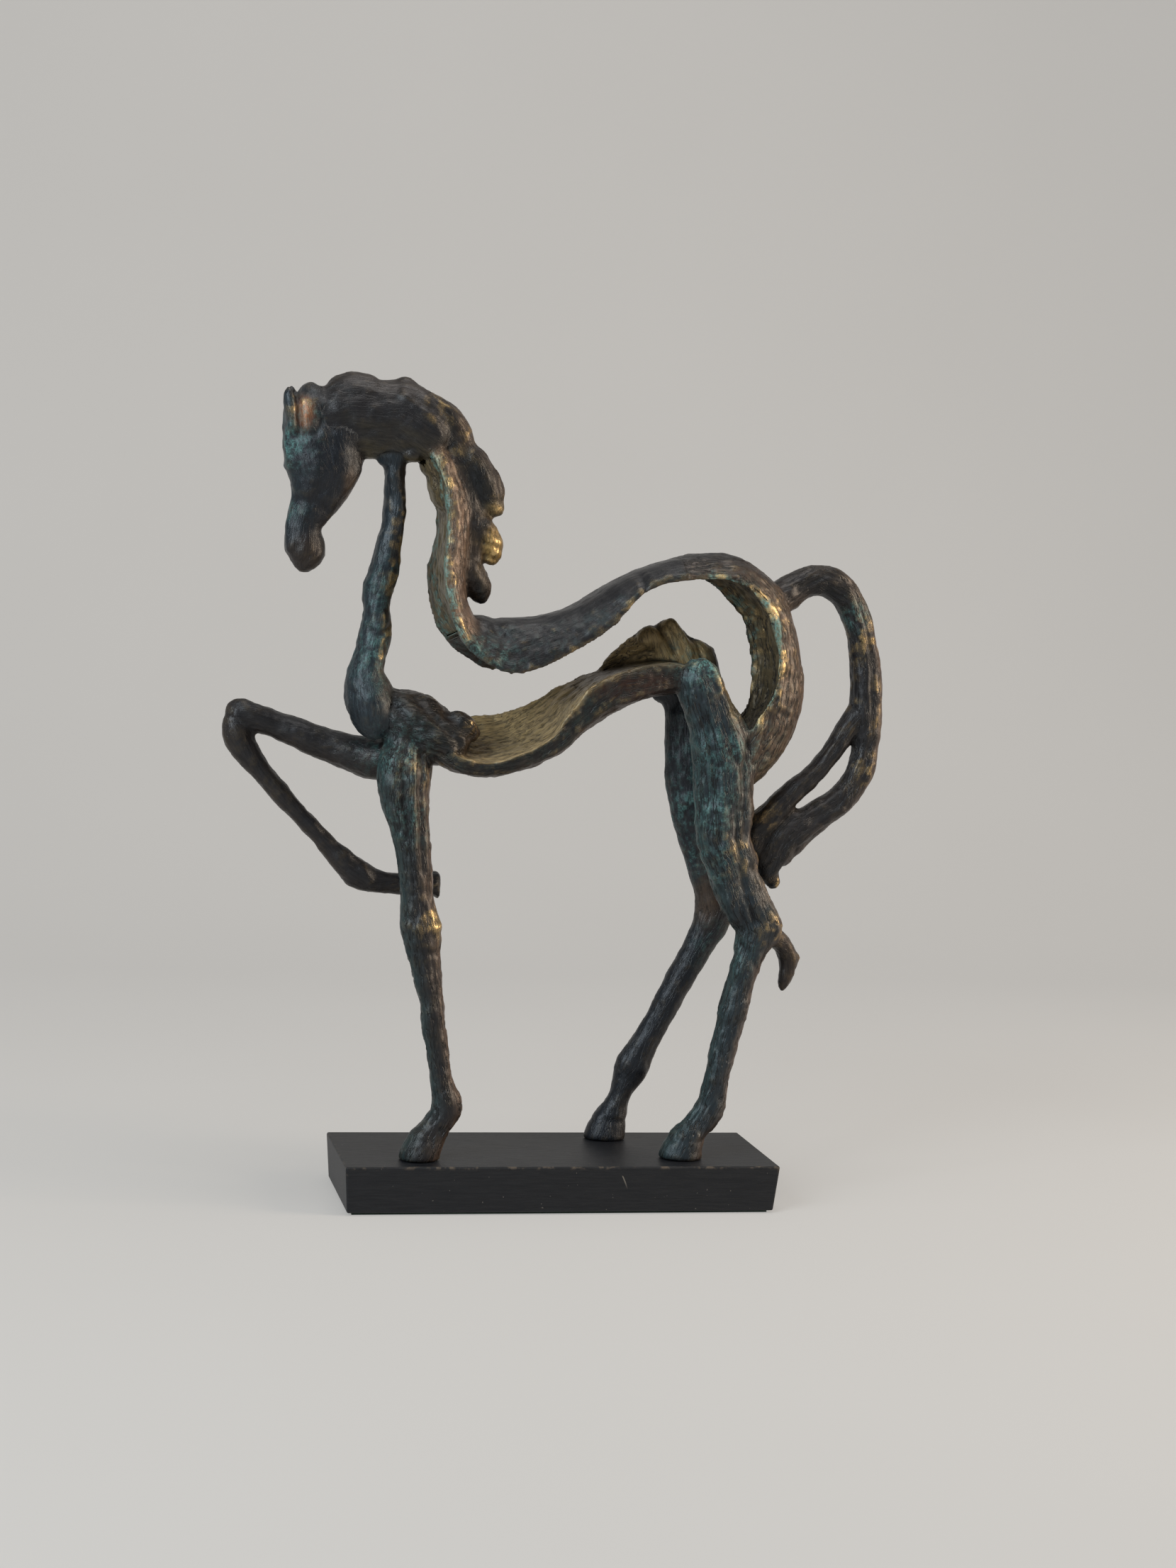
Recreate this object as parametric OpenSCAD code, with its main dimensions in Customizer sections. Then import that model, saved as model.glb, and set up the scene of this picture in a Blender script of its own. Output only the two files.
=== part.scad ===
// Striding horse in cast bronze, its body left open as a drawing in ribbons, bolted to a wooden plinth.
// The castings are lofts: each one is a short list of stations that a smooth curve runs through.
// +X is towards the tail, -Y is the horse's left side, and Z = 0 is the underside of the felt.

/* [Horse] */
// Length of the horse from the raised knee to the back of the tail
horse_l = 391; // [330:1:480]
// Height of the horse above the plinth
horse_h = 446; // [380:1:540]
// Width of the body across the rims of its ribbons
horse_w = 56; // [46:1:68]
// Thickness of the neck, back and croup ribbons
ribbon_t = 8; // [6:0.5:11]
// Thickness of the standing foreleg's cannon bone
cannon_d = 14; // [11.5:0.5:17]
// Thickness of the tail at the top of its loop
tail_d = 18; // [15:0.5:22]

/* [Plinth] */
// Length of the wooden plinth
plinth_l = 256; // [230:1:320]
// Height of the wooden block
plinth_h = 27; // [22:0.5:40]
// Wood left between the widest hoof and the plinth's long edge
plinth_margin = 4; // [2:0.5:20]
// How far the plinth's sides draw in at the foot
plinth_draft = 2; // [0:0.5:5]
// Rounding of the plinth's edges
plinth_round = 1.2; // [0.5:0.1:3]
// Thickness of the felt under the plinth
felt_t = 1.5; // [1:0.1:3]
// Bare border between the felt and the plinth's lower edge
felt_inset = 2; // [1:0.5:6]

/* [Fixings] */
// Diameter of the studs in the hooves
stud_d = 5; // [4:0.5:6]
// Depth that a stud is screwed into its hoof
stud_grip = 12; // [8:0.5:16]
// Diameter of the washers
washer_d = 12; // [9:0.5:14]
// Thickness of the washers
washer_t = 1; // [0.5:0.1:2]
// Width of the nuts across their flats
nut_af = 8; // [7:0.5:10]
// Thickness of the nuts
nut_t = 4; // [3:0.5:6]
// Diameter of the recesses under the plinth
recess_d = 16; // [14.5:0.5:24]
// Depth of the recesses under the plinth
recess_h = 9; // [8:0.5:14]

/* [Fits] */
// Weld gap that is left between two castings
seam = 0.15; // [0.05:0.05:0.4]
// Clearance round a stud in the wood, washer and nut
stud_clearance = 0.25; // [0.1:0.05:0.5]
// Clearance round a stud in its hoof's thread
thread_clearance = 0.05; // [0.02:0.01:0.15]

/* [Hidden] */

// The stations below are drawn for a horse of this length, height and width, and stretched to suit.
drawn_l = 391;
drawn_h = 446;
drawn_w = 56;
drawn_cannon = 14;
drawn_tail = 18;
drawn_ribbon = 8;
// Ratios of this horse to the drawn one, along X, Y and Z, and for the thickness of what is modelled.
kx = horse_l / drawn_l;
ky = horse_w / drawn_w;
kz = horse_h / drawn_h;
mass = (kx + kz) / 2;
leg_k = cannon_d / drawn_cannon;
tail_k = tail_d / drawn_tail;
ribbon_k = ribbon_t / drawn_ribbon;
plinth_top = felt_t + plinth_h;

// Sides of a limb's oval, strips across a ribbon, and rings that the curve adds between two stations.
limb_sides = 14;
ribbon_strips = 8;
limb_rings_between = 2;
fine_rings_between = 3;
// Share of a ribbon's thickness that is left at its rims.
tight_rim = 0.5;
full_rim = 0.85;
round_fn = 48;
corner_fn = 12;
// Larger than the whole statue, and the amount by which a cut runs past the face it opens.
far = 1000;
over = 1;

bronze = [0.17, 0.17, 0.17];
dark_bronze = [0.10, 0.11, 0.12];
brown_bronze = [0.30, 0.26, 0.21];
tan_bronze = [0.36, 0.33, 0.23];
steel = [0.70, 0.71, 0.72];
stained_wood = [0.10, 0.10, 0.10];
green_felt = [0.10, 0.18, 0.13];

// Limb stations: x, y, height above the plinth, half thickness in the horse's plane, half thickness across.
head_line = [
    [-166, 0, 436, 3, 4], [-164, 0, 432, 9, 9], [-163, 0, 425, 14, 13], [-162, 0, 415, 16, 14],
    [-159, 0, 406, 19, 15], [-154, 0, 396, 23, 16], [-154, 0, 387, 21, 15], [-156, 0, 377, 17, 13],
    [-160, 0, 366, 12, 10.5], [-163, 0, 356, 10, 9], [-162, 0, 348, 11.5, 10],
    [-161, 0, 341, 11, 10.5], [-162, 0, 335, 7.5, 7], [-163, 0, 331, 2.5, 2.5]
];
upper_neck_line = [
    [-162, 0, 417, 13, 12], [-150, 0, 417, 19, 14], [-137, 0, 421.5, 24.5, 15], [-126, 0, 420, 22, 16],
    [-113, 0, 421, 22, 17], [-103, 0, 419, 21, 18], [-95, 0, 413, 17, 18], [-89, 0, 408, 13, 16],
    [-85, 0, 405, 6, 9]
];
throat_line = [
    [-113, 0, 408, 7, 9], [-113, 0, 387, 6, 9], [-112, 0, 376, 6.3, 9], [-113, 0, 358, 6.5, 9],
    [-115.5, 0, 341, 8, 10], [-118.5, 0, 326, 9, 10], [-120, 0, 314, 7.5, 10],
    [-119.5, -1, 298, 9.5, 11], [-122, -2, 287, 9, 12], [-124.5, -3, 277, 11, 13],
    [-123, -4, 267, 14, 15], [-121, -5, 258, 14, 16], [-117, -6, 249, 12, 14], [-112, -6, 243, 8, 10]
];
shoulder_line = [
    [-120, 0, 253, 4, 6], [-113, 0, 256, 12, 15], [-103, -1, 252, 17, 22], [-91, -1, 246, 18, 26],
    [-79, -1, 240, 15, 27], [-69, 0, 240, 10, 24], [-63, 0, 240, 4, 14]
];
foreleg_left_line = [
    [-99, -8, 244, 12, 11], [-101, -14, 224, 16, 13], [-101, -17, 208, 14, 12], [-98, -18, 194, 12, 11],
    [-95, -19, 180, 10, 10], [-91, -20, 150, 9.5, 9], [-88.5, -21, 133, 11.5, 10],
    [-86, -22, 120, 10, 9], [-82, -23, 98, 7.3, 7], [-78, -24, 75, 7, 6.5], [-74.5, -25, 54, 6.5, 6.5],
    [-71, -25, 40, 7.5, 7], [-69, -25, 30, 9.3, 8], [-73.5, -25, 21, 8.5, 8], [-79, -25, 12, 10, 9],
    [-83, -25, 3, 12, 10.5], [-83.5, -25, -4, 12.5, 11]
];
raised_arm_line = [
    [-98, 6, 232, 10, 12], [-107, 9, 227, 12, 13], [-121, 14, 227, 12, 12], [-135, 17, 231, 10.5, 10.5],
    [-148, 18, 235, 9.5, 9.5], [-161, 19, 240, 8.5, 9], [-173, 20, 244, 8, 8.5], [-184, 20, 247, 8.5, 9],
    [-193, 20, 248.5, 9.5, 9], [-198, 20, 248, 7, 7], [-200, 20, 247.5, 3, 3]
];
raised_cannon_line = [
    [-194, 20, 250, 4, 5], [-195, 20, 246, 7.5, 8], [-193, 20, 238, 9.3, 9], [-189, 20, 229, 8, 8.5],
    [-180, 20, 218, 6.3, 7.5], [-162, 20, 198.5, 5.8, 6.5], [-143, 20, 179.5, 5.8, 6],
    [-129, 20, 165.5, 7, 6.5], [-121, 20, 158.5, 8.8, 7.5], [-112, 20, 155, 7.6, 7],
    [-102, 20, 153.5, 6.6, 6.5], [-92, 20, 153, 6.8, 7.5], [-82, 20, 153.5, 7.5, 9],
    [-75, 20, 154, 7.8, 9.5], [-70, 20, 154, 6.4, 8], [-67.5, 20, 154, 4, 5], [-66.5, 20, 154, 1.5, 2]
];
hind_leg_left_line = [
    [66, -20, 294, 4, 5], [67, -20, 288, 11, 10], [70, -20, 275, 14.5, 12], [76, -20, 262, 15, 12],
    [83, -20, 248, 18, 13], [86, -20, 230, 19, 13], [87, -20, 208, 18, 12.5], [89, -20, 190, 16.5, 12],
    [94, -20, 175, 16, 11], [99, -20, 161, 15, 10.5], [107, -21, 149, 14.5, 10],
    [112, -21, 139, 14.5, 9.5], [110, -21, 129, 12, 9], [107, -21, 118, 9, 8.5], [102, -21, 96, 8.5, 8],
    [97, -22, 73, 8.7, 7.5], [93, -22, 54, 8, 7.5], [91, -22, 39, 8.2, 7.5], [88, -22, 27, 9.5, 8],
    [81.5, -22, 19, 9, 8], [76, -22, 11, 11, 9.5], [73, -22, 2, 13.5, 11], [73, -22, -4, 14, 11.5]
];
hind_leg_right_line = [
    [60, 26, 315, 3, 4], [60, 26, 309, 10, 7], [61, 26, 299, 18, 9], [68, 26, 286, 25, 10],
    [78, 25, 271, 20, 12], [79, 24, 252, 17.5, 13], [79, 24, 232, 17.5, 13], [81, 24, 212, 16.5, 12.5],
    [86, 24, 192, 15, 12], [92, 24, 170, 13, 11], [97, 24, 152, 11.5, 10], [98, 24, 138, 12, 9.5],
    [93, 25, 125, 10, 9], [88, 25, 115, 9.2, 8.5], [79, 26, 97, 8.8, 8], [69, 26, 76, 8, 7.5],
    [61, 27, 60, 8.5, 7.5], [54, 27, 46, 10.5, 8.5], [51, 28, 37, 9, 8], [47, 28, 26, 6.8, 7.5],
    [44, 28, 18, 8.5, 8], [41, 28, 10, 11.3, 9.5], [39, 28, 2, 13, 11], [39, 28, -4, 13.5, 11.5]
];
right_flank_line = [
    [19, 27, 283, 2, 3], [24, 27, 284, 6, 4], [34, 27, 287, 11, 5], [45, 27, 292, 15, 6],
    [57, 27, 296, 15, 7], [66, 27, 294, 8, 5]
];
tail_outer_line = [
    [118, 0, 329, 8, 12], [122, 0, 332.5, 10.5, 12], [128, 0, 337, 10, 11], [135, 0, 342, 9, 10],
    [142.5, 0, 343.5, 9, 10], [149.5, 0, 343, 9, 10], [155.5, 0, 340, 9, 10], [161.5, 0, 335, 8.7, 10],
    [167, 0, 326, 8.6, 10], [171.5, 0, 315, 8.5, 10], [175.5, 0, 297, 9, 10], [177.5, 0, 282, 9.8, 10],
    [178.5, 0, 266, 9.8, 10], [179.5, 0, 249, 8.3, 9], [178, 0, 234, 8, 9], [174, 0, 223, 8.3, 9],
    [165.5, 0, 213, 8.8, 9], [154.5, 0, 205, 9, 9], [145, 0, 198.5, 10.5, 9.5],
    [134, 0, 190, 13, 10], [125.5, 0, 181, 12.5, 9], [122, 0, 173, 10.5, 7], [124.5, 0, 166, 6.5, 5],
    [129, 0, 160.5, 2, 2]
];
tail_inner_line = [
    [178, 0, 274, 5, 6], [171, 0, 263, 6.5, 8], [163.5, 0, 249, 6.5, 8], [156, 0, 238, 6.2, 8],
    [149.5, 0, 229.5, 6.2, 8], [141.5, 0, 222, 6.6, 8], [133.5, 0, 214.5, 7, 8.5],
    [126, 0, 206, 8, 9], [118, 0, 198, 9, 9], [112, 0, 191, 7, 7]
];
tail_end_lock_line = [
    [115, -19, 134, 5, 5], [123, -17, 132, 6, 6], [130.5, -13, 127, 6, 6], [135.5, -11, 119, 6, 6],
    [135.5, -11, 112, 5, 5], [134, -11, 105, 4, 4], [132.5, -11, 98.5, 1.5, 1.5]
];
mane_lines = [
    [[-86, -2, 418, 7, 9], [-78, -2, 402, 9, 11], [-73, -2, 384, 10, 11], [-71, -2, 364, 10, 11],
     [-69.5, -2, 350, 7, 9], [-69, -2, 340, 3, 4]],
    [[-100, -2, 434, 5, 9], [-93, -2, 429, 7, 11], [-84, -2, 422, 8, 12], [-76, -2, 413, 7, 11],
     [-73, -2, 404, 5, 8]],
    [[-76, -2, 407, 4, 8], [-70, -2, 402, 8, 12], [-64, -2, 391, 9, 13], [-59, -2, 380, 8, 11],
     [-54.5, -2, 374, 5, 7], [-52, -2, 370, 2, 3]],
    [[-74, -2, 372, 5, 9], [-66, -2, 366, 8, 12], [-59, -2, 357, 8.5, 11], [-55.5, -2, 350, 7, 9],
     [-56, -2, 343, 3.5, 5]],
    [[-76, -2, 346, 5, 9], [-69, -2, 339, 8, 12], [-63, -2, 330, 8, 10], [-61, -2, 323, 6, 7],
     [-62, -2, 319, 2.5, 3]]
];

// Ribbon stations: near rim x, y and height, far rim x, y and height, thickness, rise of the middle.
top_line = [
    [-96, -13, 409, -96, 13, 409, 9, 3], [-89, -18, 396, -91, 18, 397, 11, 4],
    [-83.5, -19, 383, -86, 19, 386, 13, 4], [-81, -20, 368, -81, 20, 368, 14, 5],
    [-82, -23, 350, -82, 23, 350, 14, 6], [-83, -26, 334, -85, 27, 336, 13, 7],
    [-79.5, -28, 314, -82, 28, 316, 11, 8], [-72, -28, 297, -73, 28, 297, 9, 11],
    [-60, -28, 287, -60, 28, 287, 8, 17], [-45, -28, 281, -45, 28, 281, 8, 25],
    [-24, -28, 287, -24, 28, 287, 8, 24], [-8, -28, 297, -8, 28, 297, 8, 18],
    [5, -28, 305, 5, 28, 305, 8, 15], [16, -28, 315, 16, 28, 315, 8, 13],
    [27, -28, 328, 27, 28, 328, 8, 8], [40, -28, 337, 40, 28, 337, 8, 5],
    [56, -28, 340, 56, 28, 340, 8, 8], [72, -28, 341, 72, 28, 341, 8, 10],
    [88, -28, 339, 85, 28, 339, 8, 12], [100, -28, 331, 97, 28, 329, 8, 14],
    [108, -28, 319, 107, 28, 318, 8, 14], [113, -28, 304, 112, 28, 303, 8, 15],
    [114, -28, 288, 114, 28, 288, 8, 17], [112, -28, 272, 115, 28, 270, 11, 17],
    [105, -28, 257, 109, 28, 255, 19, 15], [99, -27, 244, 103, 27, 243, 23, 11],
    [95, -25, 232, 98, 25, 232, 22, 8], [92, -21, 220, 94, 21, 220, 16, 5]
];
// The top line is cast in three lengths, which are welded at these stations.
withers_weld = 7;
loin_weld = 16;
belly_line = [
    [-90, -18, 238, -84, 20, 244, 10, -5], [-74, -27, 229, -70, 27, 248, 11, -6],
    [-57, -28, 226, -55, 28, 249, 11, -7], [-42, -28, 229, -42, 28, 250, 11, -7],
    [-28, -28, 235, -29, 28, 254, 12, -7], [-15, -28, 243, -17, 28, 260, 13, -7],
    [-5, -28, 256, -5, 28, 266, 16, -6], [6, -28, 268, 8, 28, 270, 20, -5],
    [20, -28, 276, 22, 28, 276, 20, -4], [35, -27, 281, 38, 27, 281, 19, -3],
    [50, -25, 283, 52, 26, 283, 18, -2], [62, -22, 282, 64, 24, 282, 16, 0]
];

// Centre of a hoof's sole, where its stud goes, and the reach of the widest hoof from the middle.
function sole(line) = let (s = line[len(line) - 1]) [s[0] * kx, s[1] * ky];
function reach(line) = let (s = line[len(line) - 1]) abs(s[1]) * ky + s[4] * leg_k;
standing_legs = [foreleg_left_line, hind_leg_left_line, hind_leg_right_line];
stud_places = [for (line = standing_legs) sole(line)];
hoof_reach = max([for (line = standing_legs) reach(line)]);
plinth_d = 2 * (hoof_reach + plinth_margin);

// Thread that shows below a tightened nut, and the drilling left beyond a stud's end in its hoof.
stud_tip = 1;
socket_spare = 0.5;
recess_top = felt_t + recess_h;
washer_bottom = recess_top - washer_t;
nut_bottom = washer_bottom - nut_t;
stud_bottom = nut_bottom - stud_tip;

function unit(v) = v / norm(v);

// A smooth curve through the stations: station i and the share f of the way to the next one.
function between(p, i, f) =
    let (
        a = p[max(i - 1, 0)],
        b = p[i],
        c = p[i + 1],
        d = p[min(i + 2, len(p) - 1)]
    )
    0.5 * (2 * b + (c - a) * f + (2 * a - 5 * b + 4 * c - d) * f * f + (3 * b - a - 3 * c + d) * f * f * f);

function smooth(p, steps) = [
    for (i = [0 : len(p) - 2]) for (k = [0 : steps - 1]) between(p, i, k / steps),
    p[len(p) - 1]
];

function heading(centres, i) = unit(centres[min(i + 1, len(centres) - 1)] - centres[max(i - 1, 0)]);

// Stations at the horse's real size: k_in and k_across scale a limb's two half thicknesses.
function sized_limb(line, k_in, k_across) = [
    for (s = line) [s[0] * kx, s[1] * ky, plinth_top + s[2] * kz, s[3] * k_in, s[4] * k_across]
];
function sized_ribbon(line) = [
    for (s = line) [
        s[0] * kx, s[1] * ky, plinth_top + s[2] * kz,
        s[3] * kx, s[4] * ky, plinth_top + s[5] * kz,
        s[6] * ribbon_k, s[7] * mass
    ]
];

// An oval section square to the limb's heading.
function limb_ring(c, t, a, b) =
    let (u = unit(cross([0, 1, 0], t)), v = cross(t, u))
    [for (i = [0 : limb_sides - 1]) let (w = 360 * i / limb_sides) c + u * a * cos(w) + v * b * sin(w)];

function limb_rings(line, steps, grow) =
    let (s = smooth(line, steps), centres = [for (p = s) [p[0], p[1], p[2]]])
    [for (i = [0 : len(s) - 1]) limb_ring(centres[i], heading(centres, i), s[i][3] + grow, s[i][4] + grow)];

// A bowed section from rim to rim, full in the middle and thinned to the rim's share at its edges.
function ribbon_bow(f, rise) = rise * (1 - pow(abs(f), 3));
function ribbon_half(f, t, rim) = t / 2 * (rim + (1 - rim) * sqrt(1 - f * f));
function ribbon_ring(s, t, rim, grow) =
    let (
        near = [s[0], s[1], s[2]],
        across = [s[3], s[4], s[5]] - near,
        middle = near + across / 2,
        out = unit(cross(t, across)),
        side = unit(across) * (norm(across) / 2 + grow),
        last = ribbon_strips,
        shares = [for (i = [0 : last]) 2 * i / last - 1]
    )
    concat(
        [for (f = shares) middle + side * f + out * (ribbon_bow(f, s[7]) - ribbon_half(f, s[6], rim) - grow)],
        [for (i = [0 : last]) let (f = shares[last - i])
            middle + side * f + out * (ribbon_bow(f, s[7]) + ribbon_half(f, s[6], rim) + grow)]
    );

function ribbon_rings(line, steps, rim, grow) =
    let (s = smooth(line, steps), centres = [for (p = s) [p[0] + p[3], p[1] + p[4], p[2] + p[5]] / 2])
    [for (i = [0 : len(s) - 1]) ribbon_ring(s[i], heading(centres, i), rim, grow)];

// Skins a list of rings and closes both ends.
module loft(rings) {
    n = len(rings[0]);
    m = len(rings);
    sides = [
        for (j = [0 : m - 2]) for (i = [0 : n - 1])
            let (a = j * n + i, b = j * n + (i + 1) % n)
            each [[a, a + n, b + n], [a, b + n, b]]
    ];
    first = [for (i = [0 : n - 1]) i];
    last = [for (i = [0 : n - 1]) m * n - 1 - i];
    polyhedron([for (r = rings) for (p = r) p], concat(sides, [first, last]), convexity = 12);
}

module limb(line, steps = limb_rings_between, k_in = mass, k_across = ky, grow = 0)
    loft(limb_rings(sized_limb(line, k_in, k_across), steps, grow));

module leg(line, grow = 0) limb(line, limb_rings_between, leg_k, leg_k, grow);
module tail(line, grow = 0) limb(line, limb_rings_between, tail_k, tail_k, grow);

// One length of the top line, between two of its stations.
module top_part(from, to, grow = 0) {
    rings = ribbon_rings(sized_ribbon(top_line), fine_rings_between, tight_rim, grow);
    loft([for (i = [from * fine_rings_between : to * fine_rings_between]) rings[i]]);
}

// One casting: resize to its own size changes nothing, and makes a single closed skin of what is inside.
module casting(tone) color(tone) resize([0, 0, 0]) union() children();

module below_plinth_top()
    translate([-far / 2, -far / 2, plinth_top - far]) cube(far);

// Shapes that other castings are cut back from: grow widens them by the weld gap.
module skull_shape(grow = 0) limb(head_line, fine_rings_between, mass, ky, grow);
module upper_neck_shape(grow = 0) limb(upper_neck_line, fine_rings_between, mass, ky, grow);
module throat_shape(grow = 0) limb(throat_line, limb_rings_between, mass, ky, grow);
module shoulder_shape(grow = 0) limb(shoulder_line, fine_rings_between, mass, ky, grow);
module raised_leg_shape(grow = 0) {
    leg(raised_arm_line, grow);
    leg(raised_cannon_line, grow);
}
module belly_shape(grow = 0)
    loft(ribbon_rings(sized_ribbon(belly_line), fine_rings_between, full_rim, grow));

module at_studs(z) for (p = stud_places) translate([p[0], p[1], z]) children();
module stud_sockets()
    at_studs(plinth_top - over)
        cylinder(d = stud_d + 2 * thread_clearance, h = over + stud_grip + socket_spare, $fn = round_fn);

module head() casting(bronze) skull_shape();

module upper_neck()
    casting(bronze) difference() {
        upper_neck_shape();
        skull_shape(seam);
    }

module throat_strand()
    casting(bronze) difference() {
        throat_shape();
        upper_neck_shape(seam);
        shoulder_shape(seam);
    }

module crest_ribbon()
    casting(brown_bronze) difference() {
        top_part(0, withers_weld);
        upper_neck_shape(seam);
    }

module mane()
    casting(dark_bronze) difference() {
        for (line = mane_lines) limb(line, fine_rings_between, kz);
        top_part(0, loin_weld, seam);
        upper_neck_shape(seam);
    }

module back_ribbon() casting(dark_bronze) top_part(withers_weld, loin_weld);

module croup_ribbon()
    casting(brown_bronze) difference() {
        top_part(loin_weld, len(top_line) - 1);
        leg(hind_leg_left_line, seam);
        leg(hind_leg_right_line, seam);
    }

module belly_ribbon()
    casting(tan_bronze) difference() {
        belly_shape();
        shoulder_shape(seam);
        leg(foreleg_left_line, seam);
        raised_leg_shape(seam);
        leg(hind_leg_left_line, seam);
        leg(hind_leg_right_line, seam);
    }

module right_flank()
    casting(tan_bronze) difference() {
        limb(right_flank_line, fine_rings_between);
        leg(hind_leg_right_line, seam);
        belly_shape(seam);
    }

module shoulder() casting(dark_bronze) shoulder_shape();

module foreleg_left()
    difference() {
        casting(bronze) difference() {
            leg(foreleg_left_line);
            shoulder_shape(seam);
            throat_shape(seam);
            below_plinth_top();
        }
        stud_sockets();
    }

module foreleg_right()
    casting(bronze) difference() {
        raised_leg_shape();
        shoulder_shape(seam);
        throat_shape(seam);
        leg(foreleg_left_line, seam);
    }

module hind_leg_left()
    difference() {
        casting(bronze) difference() {
            leg(hind_leg_left_line);
            below_plinth_top();
        }
        stud_sockets();
    }

module hind_leg_right()
    difference() {
        casting(dark_bronze) difference() {
            leg(hind_leg_right_line);
            below_plinth_top();
        }
        stud_sockets();
    }

module tail_outer()
    casting(dark_bronze) difference() {
        tail(tail_outer_line);
        top_part(loin_weld, len(top_line) - 1, seam);
        leg(hind_leg_left_line, seam);
        leg(hind_leg_right_line, seam);
    }

module tail_inner()
    casting(dark_bronze) difference() {
        tail(tail_inner_line);
        tail(tail_outer_line, seam);
        leg(hind_leg_left_line, seam);
        leg(hind_leg_right_line, seam);
    }

module tail_end_lock()
    casting(brown_bronze) difference() {
        tail(tail_end_lock_line);
        leg(hind_leg_left_line, seam);
    }

// Stained block with its sides drawn in a little at the foot, drilled and recessed for the studs.
module plinth() {
    block_x = plinth_l / 2 - plinth_round;
    block_y = plinth_d / 2 - plinth_round;
    color(stained_wood) difference() {
        hull() for (side_x = [-1, 1]) for (side_y = [-1, 1]) {
            translate([side_x * block_x, side_y * block_y, plinth_top - plinth_round])
                sphere(plinth_round, $fn = corner_fn);
            translate([
                side_x * (block_x - plinth_draft), side_y * (block_y - plinth_draft), felt_t + plinth_round
            ])
                sphere(plinth_round, $fn = corner_fn);
        }
        at_studs(0) cylinder(d = stud_d + 2 * stud_clearance, h = plinth_top + over, $fn = round_fn);
        at_studs(felt_t - over) cylinder(d = recess_d, h = recess_h + over, $fn = round_fn);
    }
}

module felt_sheet() {
    inset = plinth_draft + plinth_round + felt_inset;
    color(green_felt) translate([inset - plinth_l / 2, inset - plinth_d / 2, 0])
        cube([plinth_l - 2 * inset, plinth_d - 2 * inset, felt_t]);
}

module mounting_studs()
    color(steel) at_studs(stud_bottom)
        cylinder(d = stud_d, h = plinth_top - stud_bottom + stud_grip, $fn = round_fn);

module washers()
    color(steel) at_studs(washer_bottom) difference() {
        cylinder(d = washer_d, h = washer_t, $fn = round_fn);
        translate([0, 0, -over])
            cylinder(d = stud_d + 2 * stud_clearance, h = washer_t + 2 * over, $fn = round_fn);
    }

module nuts()
    color(steel) at_studs(nut_bottom) difference() {
        cylinder(d = nut_af / cos(30), h = nut_t, $fn = 6);
        translate([0, 0, -over])
            cylinder(d = stud_d + 2 * thread_clearance, h = nut_t + 2 * over, $fn = round_fn);
    }

head();
upper_neck();
throat_strand();
crest_ribbon();
mane();
back_ribbon();
croup_ribbon();
belly_ribbon();
right_flank();
shoulder();
foreleg_left();
foreleg_right();
hind_leg_left();
hind_leg_right();
tail_outer();
tail_inner();
tail_end_lock();
plinth();
felt_sheet();
mounting_studs();
washers();
nuts();
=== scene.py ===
"""A striding horse in dark cast bronze on a black wooden plinth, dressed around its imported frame."""

import itertools
import math

import bmesh
import bpy
import numpy as np
from mathutils import Matrix, Vector
from mathutils.bvhtree import BVHTree


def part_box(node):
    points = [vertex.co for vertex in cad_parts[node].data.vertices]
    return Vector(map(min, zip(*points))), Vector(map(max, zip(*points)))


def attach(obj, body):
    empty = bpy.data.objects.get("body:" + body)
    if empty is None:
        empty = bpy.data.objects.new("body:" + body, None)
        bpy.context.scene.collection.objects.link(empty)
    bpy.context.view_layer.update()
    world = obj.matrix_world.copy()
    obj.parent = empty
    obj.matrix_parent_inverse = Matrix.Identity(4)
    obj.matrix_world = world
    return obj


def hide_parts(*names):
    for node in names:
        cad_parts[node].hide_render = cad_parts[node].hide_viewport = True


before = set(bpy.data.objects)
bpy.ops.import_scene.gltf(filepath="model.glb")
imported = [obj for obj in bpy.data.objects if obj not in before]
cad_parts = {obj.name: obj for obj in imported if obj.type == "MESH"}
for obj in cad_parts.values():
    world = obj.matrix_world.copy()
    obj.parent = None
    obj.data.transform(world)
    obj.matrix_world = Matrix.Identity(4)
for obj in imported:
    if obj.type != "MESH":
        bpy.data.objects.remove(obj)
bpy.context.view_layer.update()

# ---------------------------------------------------------------------------------------------------------
# The view: a camera level with the horse's back, a little ahead of its head and turned towards its tail. The
# statue stands on a plain pale sweep, between a cool soft lamp at the left, a warm one at the right and a
# faint one overhead.
CAMERA_PLACE = (-0.31914, -1.36614, 0.35921)
CAMERA_YAW, CAMERA_PITCH, CAMERA_ROLL = 13.542, 4.619, -3.158
LENS = 55.33
FILM_HEIGHT = 36
scene = bpy.context.scene
scene.view_settings.view_transform = "Standard"

camera_data = bpy.data.cameras.new("camera")
camera_data.sensor_fit = "VERTICAL"
camera_data.sensor_height = FILM_HEIGHT
camera_data.lens = LENS
camera = bpy.data.objects.new("camera", camera_data)
scene.collection.objects.link(camera)
yaw, pitch, roll = (math.radians(turn) for turn in (CAMERA_YAW, CAMERA_PITCH, CAMERA_ROLL))
ahead = Vector((math.sin(yaw) * math.cos(pitch), math.cos(yaw) * math.cos(pitch), -math.sin(pitch)))
level = Vector((math.cos(yaw), -math.sin(yaw), 0))
image_down = ahead.cross(level)
right = level * math.cos(roll) + image_down * math.sin(roll)
up = level * math.sin(roll) - image_down * math.cos(roll)
camera.matrix_world = Matrix((
    (right.x, up.x, -ahead.x, CAMERA_PLACE[0]),
    (right.y, up.y, -ahead.y, CAMERA_PLACE[1]),
    (right.z, up.z, -ahead.z, CAMERA_PLACE[2]),
    (0, 0, 0, 1),
))
scene.camera = camera


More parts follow.
